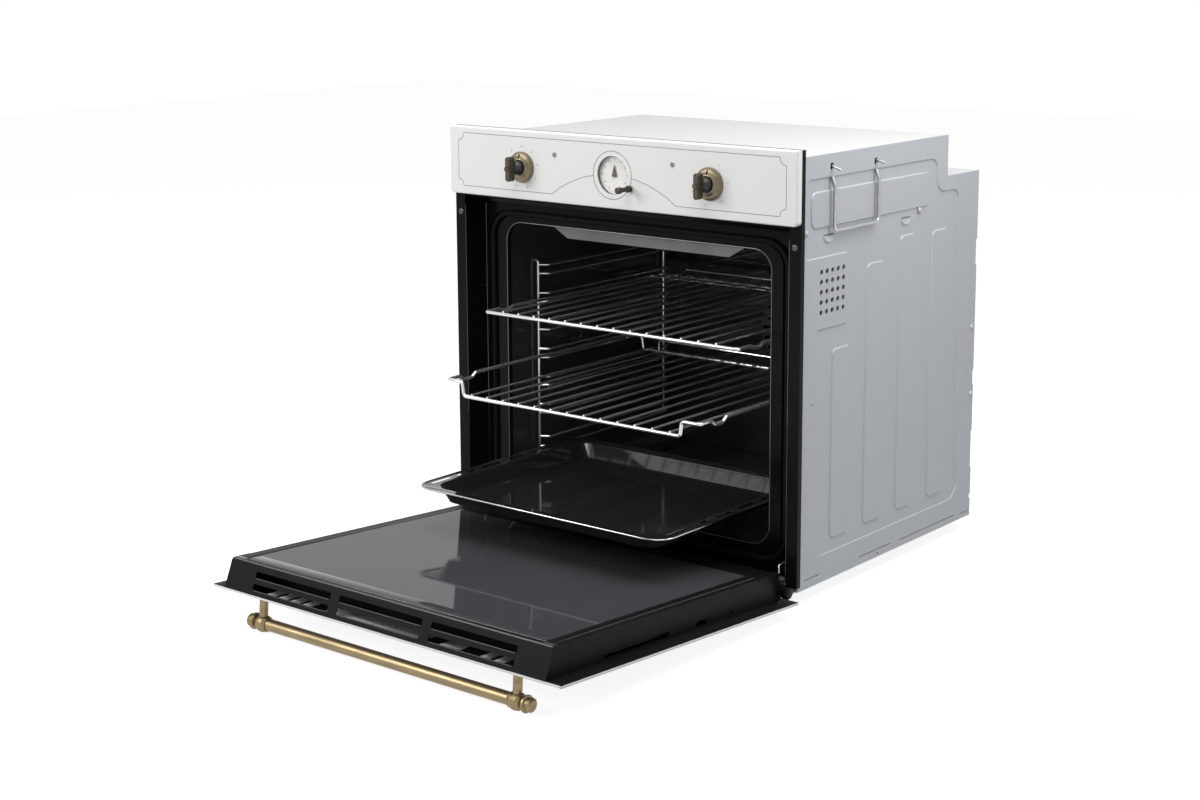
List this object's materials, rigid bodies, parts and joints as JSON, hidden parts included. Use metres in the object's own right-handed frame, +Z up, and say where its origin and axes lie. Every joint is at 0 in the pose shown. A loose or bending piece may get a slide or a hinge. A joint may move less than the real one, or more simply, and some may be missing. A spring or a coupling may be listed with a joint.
{
  "type": "built-in electric oven",
  "caption": "Built-in electric oven with drop-down glass door, control panel with timer dial and lever knobs, wire racks and baking tray on ladders.",
  "frame": {"origin": "middle of the front ledge of the flat base, in the plane of the front flange's back", "axes": "+X right seen from the front, +Y back into the cabinet, +Z up"},
  "size_m": [0.595, 1.009, 0.6171],
  "materials": {
    "white_enamel": "gloss white enamel",
    "black_enamel": "gloss black enamel",
    "black_paint": "satin black paint",
    "galvanised": "galvanised sheet",
    "steel": "plain steel",
    "chrome_wire": "bright chrome-plated wire",
    "antique_brass": "antique brass, lightly brushed",
    "dark_ball": "dark glossy plastic",
    "glass_dark": "tinted heat-reflecting glass",
    "glass_clear": "clear glass",
    "dial_print": "printed dial",
    "bronze_paint": "dark bronze",
    "lens_red": "clear smoked plastic lens",
    "rubber_seal": "matt",
    "plastic_dark": "matt",
    "plastic_white": "matt",
    "motor_steel": "laminated motor",
    "heater": "oxidised sheath",
    "aluminium": "bright",
    "wool": "glass wool"
  },
  "bodies": {
    "oven": {"front_frame": "black_enamel", "door_seal": "rubber_seal", "cavity_liner": "black_enamel", "fan_grille": "black_enamel", "fan_motor": "motor_steel", "grill_heater": "heater", "base_heater": "heater", "grill_reflector": "aluminium", "ladder_right": "chrome_wire", "ladder_left": "chrome_wire", "side_panel_right": "galvanised", "side_panel_left": "galvanised", "top_cover": "galvanised", "rear_cover": "galvanised", "base_panel": "galvanised", "insulation": "wool", "air_duct": "galvanised", "blower_housing": "galvanised", "blower_motor": "motor_steel", "control_panel": "white_enamel", "selector_switch": "plastic_white", "thermostat": "steel", "timer_body": "plastic_dark", "dial_face": "dial_print", "dial_lens": "glass_clear", "indicator_lenses": "lens_red", "terminal_block": "plastic_white", "hinge_claws": "steel", "hinge_receivers": "steel"},
    "door": {"door_skin": "white_enamel", "door_top_profile": "black_paint", "door_bottom_profile": "black_paint", "door_side_right": "black_paint", "door_side_left": "black_paint", "door_inner_glass": "glass_dark", "door_middle_glass": "glass_dark", "hinge_channel_right": "steel", "hinge_channel_left": "steel", "handle_bar": "antique_brass", "handle_bracket_right": "antique_brass", "handle_bracket_left": "antique_brass", "handle_finials": "antique_brass"},
    "upper_shelf": {"top_shelf": "chrome_wire"},
    "lower_grid": {"grid_rack": "chrome_wire"},
    "tray": {"baking_tray": "black_enamel"},
    "selector_knob": {"selector_bell": "antique_brass", "selector_ball": "dark_ball", "selector_lever": "antique_brass", "selector_shaft": "steel"},
    "thermostat_knob": {"thermostat_bell": "antique_brass", "thermostat_ball": "dark_ball", "thermostat_lever": "antique_brass", "thermostat_shaft": "steel"},
    "stem": {"timer_stem": "antique_brass"},
    "pointer": {"timer_pointer": "bronze_paint"},
    "fan": {"fan_wheel": "aluminium"},
    "blower": {"blower_rotor": "aluminium"},
    "right_bail": {"bail_right": "chrome_wire"},
    "left_bail": {"bail_left": "chrome_wire"}
  },
  "joints": [
    {"name": "door_hinge", "type": "hinge", "parent": "oven", "child": "door", "pos_m": [0, -0.0046, 0.011], "axis": [-1, 0, 0], "range_deg": [0, 86.3]},
    {"name": "top_shelf_slide", "type": "slide", "parent": "oven", "child": "upper_shelf", "axis": [0, 1, 0], "range_m": [0, 0.0662]},
    {"name": "grid_rack_slide", "type": "slide", "parent": "oven", "child": "lower_grid", "axis": [0, 1, 0], "range_m": [0, 0.1487]},
    {"name": "tray_slide", "type": "slide", "parent": "oven", "child": "tray", "axis": [0, 1, 0], "range_m": [0, 0.2792]},
    {"name": "selector_turn", "type": "hinge", "parent": "oven", "child": "selector_knob", "pos_m": [-0.1615, -0.019, 0.5438], "axis": [0, 1, 0], "continuous": true},
    {"name": "thermostat_turn", "type": "hinge", "parent": "oven", "child": "thermostat_knob", "pos_m": [0.1615, -0.019, 0.5438], "axis": [0, 1, 0], "range_deg": [0, 270]},
    {"name": "stem_turn", "type": "hinge", "parent": "oven", "child": "stem", "pos_m": [0.0305, -0.019, 0.5275], "axis": [0, 1, 0], "range_deg": [0, 300]},
    {"name": "pointer_turn", "type": "hinge", "parent": "oven", "child": "pointer", "pos_m": [0, -0.014, 0.5435], "axis": [0, 1, 0], "range_deg": [0, 300]},
    {"name": "fan_spin", "type": "hinge", "parent": "oven", "child": "fan", "pos_m": [0, 0.46, 0.256], "axis": [0, 1, 0], "continuous": true},
    {"name": "blower_spin", "type": "hinge", "parent": "oven", "child": "blower", "pos_m": [0, 0.23, 0.516], "axis": [1, 0, 0], "continuous": true},
    {"name": "right_bail_swing", "type": "hinge", "parent": "oven", "child": "right_bail", "pos_m": [0.2789, 0.15, 0.553], "axis": [0, -1, 0], "range_deg": [0, 90]},
    {"name": "left_bail_swing", "type": "hinge", "parent": "oven", "child": "left_bail", "pos_m": [-0.2789, 0.15, 0.553], "axis": [0, 1, 0], "range_deg": [0, 90]}
  ],
  "couplings": [
    {"joint": "top_shelf_slide", "follows": "door_hinge", "m_per_rad": 0.043818},
    {"joint": "grid_rack_slide", "follows": "door_hinge", "m_per_rad": 0.098591},
    {"joint": "tray_slide", "follows": "door_hinge", "m_per_rad": 0.18523},
    {"joint": "pointer_turn", "follows": "stem_turn", "ratio": 1}
  ]
}
